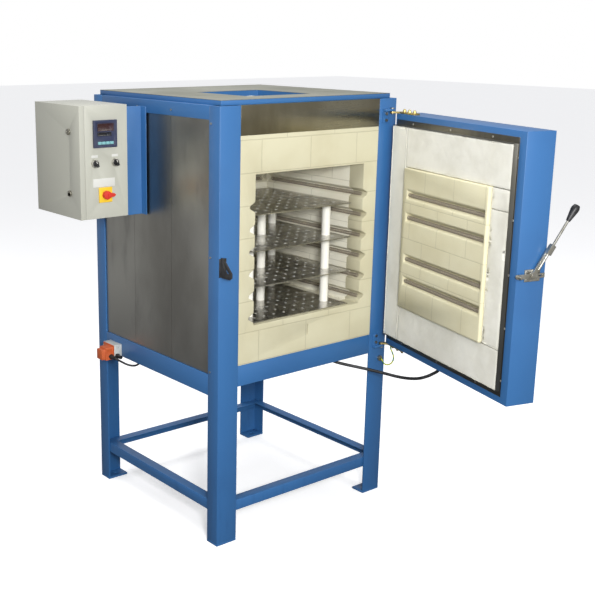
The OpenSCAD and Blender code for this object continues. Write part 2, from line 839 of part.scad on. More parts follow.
// Mounting plate in the control box, with a contactor, breakers and terminals
module control_gear() {
    x = box_x1 - 2 - 12;
    color("silver") {
        slab(x, x + 2, box_y0 + 30, box_y1 - 20, box_z + 24, box_z1 - 24);
        for (y = [box_y0 + 36, box_y1 - 36], z = [box_z + 34, box_z1 - 34])
            translate([x + 2, y, z]) rotate([0, 90, 0]) cylinder(d = 8, h = 10);
        for (z = [box_z + 60, box_z + 170])
            slab(x - 7, x, box_y0 + 110, box_y1 - 30, z, z + 35);
    }
    color("dimgray") {
        slab(x - 70, x - 7, box_y0 + 120, box_y0 + 190, box_z + 145, box_z + 225);
        for (i = [0:3])
            slab(x - 60, x - 7, box_y0 + 200 + i * 18.5, box_y0 + 217.5 + i * 18.5, box_z + 148, box_z + 228);
        for (i = [0:15])
            slab(x - 40, x - 7, box_y0 + 120 + i * 8.3, box_y0 + 127.5 + i * 8.3, box_z + 52, box_z + 102);
    }
}

module control_lid() {
    t = 2;
    color("gainsboro") difference() {
        union() {
            slab(lid_x0, lid_x0 + lid_t, box_y0, box_y1, box_z, box_z1);
            for (z = lid_hinge_z) lid_knuckle(z + 10.1, 14, -1);
        }
        slab(lid_x0 + t, lid_x0 + lid_t + eps, box_y0 + t, box_y1 - t, box_z + t, box_z1 - t);
        for (z = lid_hinge_z) translate([lid_hinge[0], lid_hinge[1], z]) cylinder(d = 5.1, h = 40);
        for (z = lock_z) translate([lid_x0 - eps, lock_y, z]) rotate([0, 90, 0]) cylinder(d = 12.2, h = 5);
    }
}

// Quarter-turn lock: a slotted insert, its shaft and the cam behind the box's lip
module lock_at(z) {
    reach = box_x0 + 2 + seat - lid_x0;
    color("dimgray") translate([lid_x0, lock_y, z]) {
        difference() {
            translate([-5, 0, 0]) rotate([0, 90, 0]) cylinder(d = 22, h = 5 - seat / 3);
            translate([-6, -8, -1.5]) cube([3, 16, 3]);
        }
        translate([-eps, 0, 0]) rotate([0, 90, 0]) cylinder(d = 12, h = reach + eps);
        translate([reach, -8, -8]) cube([3, 16, 60]);
    }
}

module upper_lock() {
    lock_at(lock_z[1]);
}

module lower_lock() {
    lock_at(lock_z[0]);
}

// Temperature controller: bezel in front of the sheet and case behind it
module controller() {
    y = box_y0 - 9;
    color("midnightblue") difference() {
        union() {
            slab(bezel_x, bezel_x + bezel, y, box_y0, bezel_z, bezel_z + bezel);
            slab(bezel_x + 3, bezel_x + bezel - 3, box_y0, box_y0 + 80, bezel_z + 3, bezel_z + bezel - 3);
        }
        slab(bezel_x + 8, bezel_x + bezel - 8, y - eps, y + 2, bezel_z + 8, bezel_z + bezel - 8);
        for (x = key_x)
            slab(x - seat, x + key_w + seat, y, y + 6, key_z - seat, key_z + 10 + seat);
    }
}

module key(i) {
    color("lightblue") slab(key_x[i], key_x[i] + key_w, box_y0 - 9.5, box_y0 - 5, key_z, key_z + 10);
}

module switch_knob(at) {
    color("black") translate([at[0], box_y0, at[1]]) rotate([90, 0, 0]) {
        translate([0, 0, -2.2]) cylinder(d = knob_d, h = 14.2);
        translate([0, 0, 12]) rotate([0, 0, 25]) intersection() {
            cylinder(d = 24, h = 9);
            translate([-4, -12, 0]) cube([8, 26, 9]);
        }
    }
}

module left_switch() {
    switch_knob(switches[0]);
}

module right_switch() {
    switch_knob(switches[1]);
}

// Fixed collars of both switches, their contact blocks and the isolator's plate
module switch_collars() {
    color("silver") for (p = switches) translate([p[0], box_y0, p[1]]) {
        rotate([90, 0, 0]) difference() {
            cylinder(d = switch_d, h = 8);
            translate([0, 0, -eps]) cylinder(d = knob_d + 2 * knob_clear, h = 12);
        }
        translate([-15, 2.5, -20]) cube([30, 36, 40]);
    }
    color("gold") difference() {
        slab(isolator[0] - isolator_w / 2, isolator[0] + isolator_w / 2, box_y0 - 5, box_y0,
            isolator[1] - isolator_w / 2, isolator[1] + isolator_w / 2);
        translate([0, -6, 0]) front_hole(isolator, knob_d + 2 * knob_clear);
        translate([0, -1, 0]) front_hole(isolator, knob_d + 2 * knob_clear);
    }
    color("dimgray") translate([isolator[0] - 22, box_y0 + 2.5, isolator[1] - 22]) cube([44, 60, 44]);
}

module isolator_knob() {
    color("firebrick") translate([isolator[0], box_y0, isolator[1]]) rotate([90, 0, 0]) {
        translate([0, 0, -2.2]) cylinder(d = knob_d, h = 8);
        translate([0, 0, 5 + seat]) cylinder(d = 30, h = 14);
        translate([0, 0, 8]) linear_extrude(14) polygon([[0, -9], [26, -6], [33, 0], [26, 6], [0, 9]]);
    }
}

// Supply connector on the left rail: base, hood and two cable glands
module supply_connector() {
    z0 = side_rail_z - 1;
    y1 = supply_y + 80;
    hood_x = x_l - 35;
    color("silver") difference() {
        union() {
            slab(hood_x, x_l, supply_y, y1, z0, z0 + 52);
            slab(hood_x + 4, x_l, y1, y1 + 10, z0 + 14, z0 + 38);
        }
        translate([hood_x + 18, supply_y - eps, z0 + 40]) rotate([-90, 0, 0]) cylinder(d = 6, h = 12, $fn = 16);
    }
    color("orangered") difference() {
        union() {
            slab(hood_x - 34, hood_x, supply_y + 8, supply_y + 54, z0 - 6, z0 + 44);
            slab(hood_x - 50, hood_x - 34, supply_y + 12, supply_y + 50, z0 - 2, z0 + 38);
        }
        for (i = [0:3])
            slab(hood_x - 30 + i * 7, hood_x - 27 + i * 7, supply_y + 8 - eps, supply_y + 10, z0, z0 + 36);
    }
    color("black") {
        for (x = [x_l - 46.5, x_l - 22])
            translate([x, supply_y + (x < hood_x ? 8 : 0), z0 + 8]) rotate([90, 0, 0]) difference() {
                union() {
                    cylinder(d = 20, h = 9, $fn = 6);
                    cylinder(d1 = 18, d2 = 14, h = 30);
                }
                translate([0, 0, 26]) cylinder(d = 10, h = 6);
            }
    }
}

// Sweeps a round tube of n sides along a list of points
function unit(v) = v / norm(v);
function bisect(p, i) = unit(unit(p[min(i + 1, len(p) - 1)] - p[max(i, 0)] + [0, 0, 1e-9])
    + unit(p[max(i, 1)] - p[max(i - 1, 0)] + [0, 0, 1e-9]));
function smooth(p, n) = [for (i = [0:len(p) - 2], k = [0:n - 1]) let (
    a = p[max(i - 1, 0)], b = p[i], c = p[i + 1], d = p[min(i + 2, len(p) - 1)], t = k / n)
    0.5 * (2 * b + (c - a) * t + (2 * a - 5 * b + 4 * c - d) * t * t + (3 * b - a - 3 * c + d) * t * t * t),
    p[len(p) - 1]];

module tube(p, d, n) {
    m = len(p);
    up = unit(cross(p[m - 1] - p[0], [0.3, 0.2, 1]));
    pts = [for (i = [0:m - 1]) let (w = bisect(p, i), u = unit(up - (up * w) * w), v = cross(w, u))
        for (k = [0:n - 1]) p[i] + d / 2 * (cos(360 * k / n) * u + sin(360 * k / n) * v)];
    sides = [for (i = [0:m - 2], k = [0:n - 1]) [i * n + k, (i + 1) * n + k,
        (i + 1) * n + (k + 1) % n, i * n + (k + 1) % n]];
    polyhedron(concat([], pts), concat(sides, [[for (k = [0:n - 1]) k],
        [for (k = [n - 1:-1:0]) (m - 1) * n + k]]));
}

module door_cable() {
    color("black") tube(smooth(cable_route, 2), cable_d, 10);
}

module earth_wire() {
    color("yellowgreen") tube(smooth(earth_route, 2), earth_d, 8);
}

module supply_lead() {
    color("black") tube(smooth(supply_route, 2), 8, 8);
}

module gland(x, y, z) {
    translate([x, y, z]) mirror([0, 0, 1]) difference() {
        union() {
            cylinder(d = 26, h = 6, $fn = 6);
            cylinder(d1 = 24, d2 = 19, h = gland_h);
        }
        translate([0, 0, -eps]) cylinder(d = cable_d + 2 * cable_clear, h = gland_h + 2 * eps);
    }
}

module body_gland() {
    color("dimgray") gland(cable_route[0][0], cable_route[0][1], pan_z);
}

module door_gland() {
    p = cable_route[len(cable_route) - 1];
    color("dimgray") gland(p[0], p[1], door_z);
}

module hex_head(d, h) {
    cylinder(d = d, h = h, $fn = 6);
}

// Hinge bolts, panel screws and the earth stud with its black cap
module frame_screws() {
    bx = (bracket_x0 + bracket_x1) / 2;
    color("silver") {
        for (z = [top_tongue_z - 34, top_tongue_z - 10, low_tongue_z + 20, low_tongue_z + 46])
            translate([bx, y_f - 4, z]) rotate([90, 0, 0]) hex_head(12, 5);
        for (y = [-120, 95, 260]) left_and_right()
            translate([x_l, y, frame_h - 28]) rotate([0, -90, 0]) cylinder(d = 8, h = 2, $fn = 16);
        left_and_right() for (z = [frame_h - 60, 1080, panel_z0 + 24])
            translate([x_l, y_f + post_side_w - 12, z]) rotate([0, -90, 0]) cylinder(d = 8, h = 2, $fn = 16);
    }
    color("black") translate([x_r - 30, y_f, 573]) rotate([90, 0, 0]) cylinder(d = 22, h = 8);
}

front_posts();
rear_posts();
foot_plates();
stretchers();
bottom_rails();
top_rails();
floor_pan();
side_panels();
rear_panel();
terminal_cover();
header_panel();
top_cover();
top_sheet();
vent_bung();
backup_insulation();
brick_front();
side_walls();
back_wall();
roof_bricks();
hearth_bricks();
wall_elements();
thermocouple();
shelves();
shelf_props();
door_casing();
door_trim();
door_lining();
door_bricks();
door_elements();
hinge_brackets();
hinge_pins();
hinge_straps();
latch_plate();
latch_lever();
lever_grip();
latch_keeper();
box_bracket();
control_box();
control_gear();
control_lid();
upper_lock();
lower_lock();
controller();
key(0);  // key_1
key(1);  // key_2
key(2);  // key_3
key(3);  // key_4
left_switch();
right_switch();
switch_collars();
isolator_knob();
supply_connector();
supply_lead();
body_gland();
door_gland();
door_cable();
earth_wire();
frame_screws();
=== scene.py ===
# %% [markdown]
# # A jewellery kiln
# A floor-standing kiln with its door swung open: a blue angle-steel frame, a brick
# chamber with coiled elements, four perforated shelves and a control box on its side.
# The solids come from the CAD model, in metres, and this file dresses them. First the
# frame is loaded.

import json
import math

import bmesh
import bpy
from mathutils import Matrix, Vector

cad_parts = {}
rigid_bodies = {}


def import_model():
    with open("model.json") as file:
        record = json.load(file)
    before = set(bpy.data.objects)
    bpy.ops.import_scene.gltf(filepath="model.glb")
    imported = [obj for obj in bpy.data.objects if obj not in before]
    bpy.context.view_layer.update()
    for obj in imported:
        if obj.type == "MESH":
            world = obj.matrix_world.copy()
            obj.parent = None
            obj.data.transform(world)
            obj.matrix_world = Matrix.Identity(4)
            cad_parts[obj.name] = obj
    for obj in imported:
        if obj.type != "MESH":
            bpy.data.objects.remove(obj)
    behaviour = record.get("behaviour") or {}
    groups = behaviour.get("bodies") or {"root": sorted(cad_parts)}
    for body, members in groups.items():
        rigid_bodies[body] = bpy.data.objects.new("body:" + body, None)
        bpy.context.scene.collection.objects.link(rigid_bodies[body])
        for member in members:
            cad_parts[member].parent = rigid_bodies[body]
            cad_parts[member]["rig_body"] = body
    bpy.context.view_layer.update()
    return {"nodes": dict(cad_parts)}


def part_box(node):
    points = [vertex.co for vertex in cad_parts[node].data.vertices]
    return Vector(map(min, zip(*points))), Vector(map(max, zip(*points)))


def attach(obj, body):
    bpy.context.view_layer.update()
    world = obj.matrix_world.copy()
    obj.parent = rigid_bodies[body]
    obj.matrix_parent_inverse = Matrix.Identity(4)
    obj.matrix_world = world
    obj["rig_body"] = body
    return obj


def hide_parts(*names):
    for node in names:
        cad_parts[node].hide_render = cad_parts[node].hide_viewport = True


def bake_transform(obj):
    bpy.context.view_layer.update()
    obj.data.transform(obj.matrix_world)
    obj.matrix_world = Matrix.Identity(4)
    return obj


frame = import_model()
nodes = frame["nodes"]
scene = bpy.context.scene

# %% [markdown]
# ## The camera
# The photo was taken from the left, a little above the top, with a medium long lens.
# Its place, turn and tilt were fitted to the corners of the frame and the chamber. The
# kiln stands off-centre in the picture, so the lens is shifted, as on a view camera.

# %% Place the camera
PICTURE = 595
FOCAL = 1030.3
CENTRE = (210.7, 290.25)
EYE = Vector((-2.5514, -3.1158, 1.8382))
YAW, PITCH, ROLL = (math.radians(a) for a in (-37.60, -14.07, -0.34))

camera_data = bpy.data.cameras.new("camera")
camera_data.sensor_width = 36
camera_data.lens = 36 * FOCAL / PICTURE
camera_data.shift_x = (PICTURE / 2 - CENTRE[0]) / PICTURE
camera_data.shift_y = (CENTRE[1] - PICTURE / 2) / PICTURE
camera = bpy.data.objects.new("camera", camera_data)
scene.collection.objects.link(camera)
turn = Matrix.Rotation(YAW, 4, "Z") @ Matrix.Rotation(math.pi / 2 + PITCH, 4, "X")
camera.matrix_world = Matrix.Translation(EYE) @ turn @ Matrix.Rotation(-ROLL, 4, "Z")
scene.camera = camera
print("lens", round(camera_data.lens, 1), "mm")

# %% [markdown]
# ## Cords
# A black cable hangs in a loop from the body's underside to the door's, and a thin
# green and yellow wire earths the door. Both are held at both ends, so they are drawn
# through the points of their CAD solids. A short lead from the supply connector stays
# with the body.

# %% Draw the cables
def tidy(obj, name, body, replaced):
    """Name a finished piece, let it ride on its body and stand for CAD nodes."""
    obj.name = obj.data.name = name
    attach(obj, body)
    if replaced:
        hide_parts(*replaced)
    return obj


def smooth_route(points, steps):
    """Points of a smooth line that runs through all the points given."""
    out = []
    last = len(points) - 1
    for i in range(last):
        a, b, c, d = (Vector(points[min(max(i + k, 0), last)]) for k in (-1, 0, 1, 2))
        for s in range(steps):
            t = s / steps
            out.append(0.5 * (2 * b + (c - a) * t + (2 * a - 5 * b + 4 * c - d) * t * t
                              + (3 * b - a - 3 * c + d) * t ** 3))
    return out + [Vector(points[last])]


def tube(name, points, diameter, sides):
    """A round tube along points, closed at both ends, as a mesh."""
    mesh = bmesh.new()
    rings = []
    side = (points[-1] - points[0]).cross(Vector((0.3, 0.2, 1))).normalized()
    for i, p in enumerate(points):
        ahead = points[min(i + 1, len(points) - 1)] - points[max(i - 1, 0)]
        ahead.normalize()
        u = (side - ahead * side.dot(ahead)).normalized()
        v = ahead.cross(u)
        rings.append([mesh.verts.new(p + diameter / 2 * (math.cos(a) * u + math.sin(a) * v))
                      for a in (math.tau * k / sides for k in range(sides))])
    for one, two in zip(rings, rings[1:]):
        for k in range(sides):
            mesh.faces.new((one[k], one[(k + 1) % sides], two[(k + 1) % sides], two[k]))
    mesh.faces.new(rings[0][::-1])
    mesh.faces.new(rings[-1])
    data = bpy.data.meshes.new(name)
    mesh.to_mesh(data)
    mesh.free()
    obj = bpy.data.objects.new(name, data)
    scene.collection.objects.link(obj)
    data.shade_smooth()
    return obj


def route_length(points):
    return sum((b - a).length for a, b in zip(points, points[1:]))


MM = 0.001
DOOR_CABLE = [(190, -330, 607), (190, -330, 599), (191, -333, 590), (198, -345, 582),
              (214, -368, 576), (250, -408, 567), (290, -450, 557), (322, -500, 549),
              (342, -550, 545), (352, -598, 549), (357, -642, 560), (360, -680, 578),
              (362, -709, 597), (362, -726, 610), (362, -733, 620), (362, -734, 628.5),
              (362, -734, 640)]
EARTH_WIRE = [(396, -411.4, 573), (399, -413, 567), (402, -419, 556), (406, -428, 550),
              (412, -440, 552), (417, -450, 562), (419, -455, 576), (417, -456, 592),
              (413.5, -452, 606), (410.5, -446.5, 620), (410, -445.3, 634.5)]
SUPPLY_LEAD = [(-471.5, 209.5, 580), (-471.5, 196, 580), (-470, 180, 578), (-464, 160, 573),
               (-454, 142, 567), (-440, 131, 563), (-425, 127, 562), (-410, 127, 566),
               (-399, 128, 576), (-393, 129, 590), (-391, 129, 608.4)]
CORDS = {"door_cable": (DOOR_CABLE, 0.012, 24, "cable_rubber"),
         "earth_wire": (EARTH_WIRE, 0.005, 12, "earth_pvc"),
         "supply_lead": (SUPPLY_LEAD, 0.008, 16, "cable_rubber")}
for name, (route, diameter, sides, slot) in CORDS.items():
    line = smooth_route([Vector(p) * MM for p in route], 6)
    cord = tube(name + "_cord", line, diameter, sides)
    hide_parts(name)
    if name == "supply_lead":
        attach(cord, "kiln")
    else:
        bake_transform(cord)
    route_length(line)
    print(name, round(route_length(line), 3), "m")

# %% [markdown]
# ## Shader maths in plain Python
# A material is a graph of small maths nodes. Wrapping a socket in a class with +, -, *
# and / lets the graph be written as one expression, which reads far better than links.

# %% A wrapped socket and a finish
class Wire:
    """One shader value: the usual operators on it add Math nodes."""

    def __init__(self, finish, socket):
        self.finish, self.socket = finish, socket

    def maths(self, operation, a, b):
        return self.finish.add("ShaderNodeMath", {"operation": operation}, a, b)

    def __add__(self, other):
        return self.maths("ADD", self, other)

    def __sub__(self, other):
        return self.maths("SUBTRACT", self, other)

    def __rsub__(self, other):
        return self.maths("SUBTRACT", other, self)

    def __mul__(self, other):
        return self.maths("MULTIPLY", self, other)

    def __truediv__(self, other):
        return self.maths("DIVIDE", self, other)

    __radd__ = __add__
    __rmul__ = __mul__

    def low(self, other):
        """The lower of two values."""
        return self.maths("MINIMUM", self, other)

    def band(self, start, stop):
        """0 below start, 1 above stop and a smooth step between them."""
        node = {"interpolation_type": "SMOOTHSTEP"}
        return self.finish.add("ShaderNodeMapRange", node, self, start, stop, 0.0, 1.0)


class Finish:
    """A procedural material with a short vocabulary."""

    def __init__(self, name, **constants):
        self.material = bpy.data.materials.new(name)
        self.material.use_nodes = True
        self.tree = self.material.node_tree
        self.shader = self.tree.nodes["Principled BSDF"]
        for key, value in constants.items():
            self.shader.inputs[key.replace("_", " ")].default_value = value
        self.place = self.add("ShaderNodeTexCoord", {}, out="Object")

    def add(self, kind, settings, *values, out=0, **named):
        """Make a node, set it up, feed its sockets and give back one output."""
        node = self.tree.nodes.new(kind)
        for key, value in settings.items():
            setattr(node, key, value)
        for key, value in list(enumerate(values)) + list(named.items()):
            socket = node.inputs[key.replace("_", " ") if isinstance(key, str) else key]
            if isinstance(value, Wire):
                self.tree.links.new(value.socket, socket)
            else:
                socket.default_value = value
        return Wire(self, node.outputs[out])

    def noise(self, scale, detail=3.0, stretch=None, rough=0.5):
        """Soft random clouds, stretched along an axis if asked."""
        place = self.place
        if stretch:
            place = self.add("ShaderNodeVectorMath", {"operation": "MULTIPLY"}, place, stretch)
        return self.add("ShaderNodeTexNoise", {}, Vector=place, Scale=scale, Detail=detail,
                        Roughness=rough)

    def split(self):
        """The three coordinates of the place, in metres."""
        node = self.add("ShaderNodeSeparateXYZ", {}, self.place).socket.node
        return [Wire(self, o) for o in node.outputs]

    def mix(self, factor, a, b):
        """Colour a where the factor is 0 and colour b where it is 1."""
        node = self.tree.nodes.new("ShaderNodeMix")
        node.data_type = "RGBA"
        for index, value in ((0, factor), (6, a), (7, b)):
            if isinstance(value, Wire):
                self.tree.links.new(value.socket, node.inputs[index])
            else:
                node.inputs[index].default_value = value
        return Wire(self, node.outputs[2])

    def bump(self, height, strength, depth):
        return self.add("ShaderNodeBump", {}, Strength=strength, Distance=depth, Height=height)

    def wear(self, colour, rough=None, normal=None):
        """Feed the varying values into the surface."""
        for key, wire in (("Base Color", colour), ("Roughness", rough), ("Normal", normal)):
            if wire is not None:
                self.tree.links.new(wire.socket, self.shader.inputs[key])
        return self.material


def paint(r, g, b):
    """A screen colour, 0 to 255, as the light that Blender mixes."""
    return tuple(((c / 255 + 0.055) / 1.055) ** 2.4 if c > 10 else c / 3295
                 for c in (r, g, b)) + (1.0,)


def darker(colour, share):
    return tuple(c * share for c in colour[:3]) + (1,)


print("finishes are ready to be mixed")

# %% [markdown]
# ## Painted steel
# Powder coat is a thin plastic skin with a fine orange peel. Handling leaves it with
# dull patches, and the paint is rubbed to a darker tone low on the legs, where feet
# and brooms touch it.

# %% Mix the powder coats
def powder_coat(name, colour, dark, low_wear=0.0):
    f = Finish(name, Coat_Weight=0.25, Coat_Roughness=0.3)
    patches = f.noise(3.0, 5.0)
    specks = f.noise(260.0, 2.0)
    scratches = f.noise(40.0, 6.0, stretch=(1.0, 1.0, 0.12), rough=0.7)
    soiled = patches.band(0.45, 0.75) * 0.35
    if low_wear:
        low = 1.0 - f.split()[2].band(0.02, 0.35)
        soiled = soiled + low * scratches.band(0.5, 0.7) * low_wear
    scuffs = scratches.band(0.66, 0.72) * 0.25
    tone = f.mix(soiled, colour, dark)
    tone = f.mix(scuffs * specks.band(0.4, 0.6), tone, darker(dark, 0.75))
    peel = f.noise(900.0, 2.0) * 0.5 + specks * 0.3
    return f.wear(tone, 0.36 + patches * 0.16 + scuffs * 0.3, normal=f.bump(peel, 0.12, 0.0006))


BLUE = powder_coat("blue_powder_coat", paint(50, 103, 158), paint(38, 85, 136), low_wear=0.5)
GREY = powder_coat("grey_powder_coat", paint(180, 180, 168), paint(160, 160, 148))
print(BLUE.name, GREY.name)

# %% [markdown]
# ## Sheet steel
# Brushed stainless sheet mirrors the room in long vertical smears, which are also
# painted into its colour as darker streaks, a painted reflection. The brushing is a
# noise stretched along the grain, which tilts the surface and changes its gloss. Oily
# hand marks and old heat leave olive and brown clouds.

# %% Mix the metals
def sheet_steel(name, bright, stain, stretch, gloss, clouds=2.2, grain=350.0):
    f = Finish(name, Metallic=1.0)
    brushed = f.noise(grain, 3.0, stretch=stretch)
    cloudy = f.noise(clouds, 5.0, stretch=(1.0, 1.0, 0.6))
    painted_reflection_streaks = f.noise(14.0, 4.0, stretch=(1.0, 1.0, 0.25))
    tone = f.mix(cloudy.band(0.35, 0.7), bright, stain)
    # Darker vertical streaks in the colour are a painted reflection of the room; they also vary
    # the gloss.
    tone = f.mix(painted_reflection_streaks.band(0.55, 0.75) * 0.3, tone, darker(stain, 0.6))
    rough = gloss + cloudy * 0.12 + brushed * 0.1 + painted_reflection_streaks.band(0.5, 0.7) * 0.1
    return f.wear(tone, rough, normal=f.bump(brushed, 0.08, 0.0004))


UPRIGHT, LYING, NO_GRAIN = (1, 1, 0.03), (0.05, 1, 1), (1, 1, 1)
SIDE_STEEL = sheet_steel("side_steel", paint(168, 167, 162), paint(132, 130, 125), UPRIGHT, 0.22)
HEADER_STEEL = sheet_steel("header_steel", paint(158, 152, 130), paint(112, 104, 82),
                           (0.03, 1, 1), 0.18)
TRIM_STEEL = sheet_steel("trim_steel", paint(124, 122, 115), paint(90, 87, 78), (1, 1, 0.05), 0.3)
TOP_STEEL = sheet_steel("top_steel", paint(172, 172, 158), paint(140, 140, 124), LYING, 0.3)
SHELF_STEEL = sheet_steel("shelf_steel", paint(205, 203, 198), paint(160, 158, 152),
                          LYING, 0.14, 6.0)
ZINC = sheet_steel("bright_zinc", paint(196, 194, 186), paint(150, 146, 132),
                   NO_GRAIN, 0.28, 30.0, 700.0)
YELLOW_ZINC = sheet_steel("yellow_zinc", paint(206, 186, 120), paint(160, 136, 84),
                          NO_GRAIN, 0.3, 40.0, 700.0)
DARK_STEEL = sheet_steel("dark_steel", paint(70, 72, 78), paint(44, 46, 52),
                         NO_GRAIN, 0.4, 20.0, 500.0)
print("metals mixed")

# %% [markdown]
# ## Brick and fibre
# Insulating firebrick is a pale cream foam of clay, soft enough to saw. Thin mortar
# joints run between the blocks, and the surface is full of small pits, sunk by the bump
# and darkened in the colour as painted shade. The fibre blanket round it is whiter, with
# a woolly nap and shallow dents.

# %% Mix the brick and the fibre
def firebrick(name, colour, dark, across, length, course, offset=(0.0, 0.0), joint=0.0022):
    """Bricks in courses: across says which coordinate runs along a course."""
    f = Finish(name, Roughness=0.92)
    place = f.split()
    along, up = place[across] + offset[0], place[2] + offset[1]
    row = f.add("ShaderNodeMath", {"operation": "FLOOR"}, up / course)
    shift = f.add("ShaderNodeMath", {"operation": "PINGPONG"}, row, 1.0) * (length / 2)
    wrap = {"operation": "WRAP"}
    u = f.add("ShaderNodeMath", wrap, along + shift, length, 0.0)
    v = f.add("ShaderNodeMath", wrap, up, course, 0.0)
    wobble = (f.noise(60.0, 2.0) - 0.5) * 0.002
    gap = (u + wobble).low(length - u).low(v + wobble).low(course - v)
    mortar = 1.0 - gap.band(joint * 0.3, joint)
    pits_with_painted_shade = f.noise(420.0, 2.0, rough=0.7).band(0.6, 0.72)
    grains = f.noise(130.0, 4.0)
    clouds = f.noise(7.0, 4.0)
    tone = f.mix(clouds.band(0.35, 0.7) * 0.6, colour, dark)
    # The pits are darkened in the colour: painted shade in the small hollows.
    tone = f.mix(pits_with_painted_shade * 0.25, tone, darker(dark, 0.6))
    tone = f.mix(mortar * 0.45, tone, darker(dark, 0.62))
    height = grains * 0.35 - pits_with_painted_shade * 0.5 - mortar * 1.2
    return f.wear(tone, normal=f.bump(height, 0.5, 0.0012))


CREAM, TAN = paint(200, 195, 167), paint(190, 183, 152)
PALE_CREAM, PALE_TAN = paint(240, 237, 220), paint(230, 224, 202)
LENGTH, COURSE, WALL_START = 0.230, 0.080, (0.0, -0.008)
BRICK = firebrick("front_brick", CREAM, TAN, 0, LENGTH, 0.114, (0.01, 0.0))
WALL_BRICK = firebrick("wall_brick", PALE_CREAM, PALE_TAN, 1, LENGTH, COURSE, WALL_START)
BACK_BRICK = firebrick("back_brick", PALE_CREAM, PALE_TAN, 0, LENGTH, COURSE, WALL_START)


def fibre(name, colour, dark):
    f = Finish(name, Roughness=0.97, Sheen_Weight=0.25, Sheen_Roughness=0.6)
    clouds = f.noise(9.0, 5.0)
    nap = f.noise(380.0, 4.0, stretch=(1.0, 1.0, 0.4))
    dents = f.noise(34.0, 3.0)
    tone = f.mix(clouds.band(0.35, 0.7) * 0.8, colour, dark)
    tone = f.mix(nap.band(0.6, 0.8) * 0.2, tone, darker(dark, 0.8))
    return f.wear(tone, normal=f.bump(nap * 0.3 + dents, 0.45, 0.003))


FIBRE = fibre("ceramic_fibre", paint(232, 230, 218), paint(212, 209, 194))
print("brick and fibre mixed")

# %% [markdown]
# ## Plastics, rubber and the rest
# Moulded plastic has a fine spark-eroded texture and picks up a little dust. Fired
# ceramic is chalky. The element wire is oxidised to a dull brown-grey.

# %% Mix the small finishes
def moulded(name, colour, gloss, grain=1400.0, dust=0.18, **constants):
    f = Finish(name, **constants)
    clouds = f.noise(25.0, 4.0)
    grit = f.noise(grain, 2.0)
    dusty = tuple(c * 0.6 + 0.12 for c in colour[:3]) + (1,)
    tone = f.mix(clouds.band(0.45, 0.75) * dust, colour, dusty)
    return f.wear(tone, gloss + clouds * 0.14 + grit * 0.06, normal=f.bump(grit, 0.12, 0.0003))


BLACK = moulded("black_plastic", paint(28, 28, 30), 0.34)
NAVY = moulded("navy_plastic", paint(46, 52, 78), 0.42)
TEAL = moulded("teal_plastic", paint(122, 176, 180), 0.5, dust=0.1)
RED = moulded("red_plastic", paint(200, 48, 34), 0.3, dust=0.1)
YELLOW = moulded("yellow_plastic", paint(232, 190, 40), 0.38, dust=0.1)
ORANGE = moulded("orange_plastic", paint(196, 92, 44), 0.45)
PALE = moulded("pale_plastic", paint(190, 192, 188), 0.45)
RUBBER = moulded("cable_rubber", paint(26, 26, 28), 0.5, grain=900.0, dust=0.3)
CERAMIC = moulded("white_ceramic", paint(240, 238, 228), 0.6, grain=500.0, dust=0.3)
ELEMENT = moulded("element_wire", paint(158, 148, 134), 0.4, grain=900.0, dust=0.4, Metallic=0.5)


def striped_wire():
    """Two yellow-green stripes that wind round the earth wire."""
    f = Finish("earth_pvc", Roughness=0.38)
    x, y, z = f.split()
    wave = f.add("ShaderNodeMath", {"operation": "SINE"}, (x + y + z) * 260.0)
    grime = f.noise(60.0, 3.0)
    tone = f.mix(wave.band(-0.1, 0.1), paint(196, 200, 40), paint(44, 128, 56))
    tone = f.mix(grime.band(0.5, 0.8) * 0.3, tone, paint(90, 96, 50))
    return f.wear(tone, 0.36 + grime * 0.15, normal=f.bump(grime, 0.1, 0.0003))


EARTH = striped_wire()
print("small finishes mixed")

# %% [markdown]
# ## Dressing the solids
# Where a CAD solid already has the right shape, only its finish is missing. Each node
# is given the material of its real counterpart.

# %% Hand out the finishes
def dress(finish, *names):
    for n in names:
        data = nodes[n].data
        data.materials.clear()
        data.materials.append(finish)


dress(BLUE, "front_posts", "rear_posts", "foot_plates", "stretchers", "bottom_rails",
      "top_rails", "terminal_cover", "top_cover", "door_casing", "hinge_brackets", "box_bracket")
dress(SIDE_STEEL, "side_panels", "rear_panel", "floor_pan")
dress(HEADER_STEEL, "header_panel")
dress(TRIM_STEEL, "door_trim")
dress(TOP_STEEL, "top_sheet")
dress(SHELF_STEEL, "shelves")
dress(BRICK, "brick_front", "door_bricks")
dress(WALL_BRICK, "side_walls", "roof_bricks", "hearth_bricks", "vent_bung")
dress(BACK_BRICK, "back_wall")
dress(FIBRE, "backup_insulation", "door_lining")
dress(CERAMIC, "thermocouple", "shelf_props")
dress(ZINC, "hinge_pins", "latch_plate", "latch_lever", "frame_screws", "control_gear",
      "upper_lock", "lower_lock", "switch_collars")
dress(YELLOW_ZINC, "hinge_straps")
dress(DARK_STEEL, "latch_keeper")
dress(BLACK, "lever_grip", "body_gland", "door_gland", "left_switch", "right_switch")
dress(GREY, "control_box", "control_lid")
dress(NAVY, "controller")
dress(TEAL, "key_1", "key_2", "key_3", "key_4")
dress(RED, "isolator_knob")
dress(ORANGE, "supply_connector")
dress(ELEMENT, "wall_elements", "door_elements")
for name, finish in (("door_cable", RUBBER), ("supply_lead", RUBBER), ("earth_wire", EARTH)):
    bpy.data.objects[name + "_cord"].data.materials.append(finish)
    dress(finish, name)
print("dressed", sum(1 for o in nodes.values() if o.data.materials), "nodes")

# %% [markdown]
# ## Coiled elements
# A heating element is a wire wound into a tight helix that rests in its groove. A
# small ring of edges is lofted into a spring by the Screw modifier, once, and each
# groove gets its own copy.

# %% Wind the coils
def deselect():
    if bpy.context.object and bpy.context.object.mode != "OBJECT":
        bpy.ops.object.mode_set(mode="OBJECT")
    bpy.ops.object.select_all(action="DESELECT")


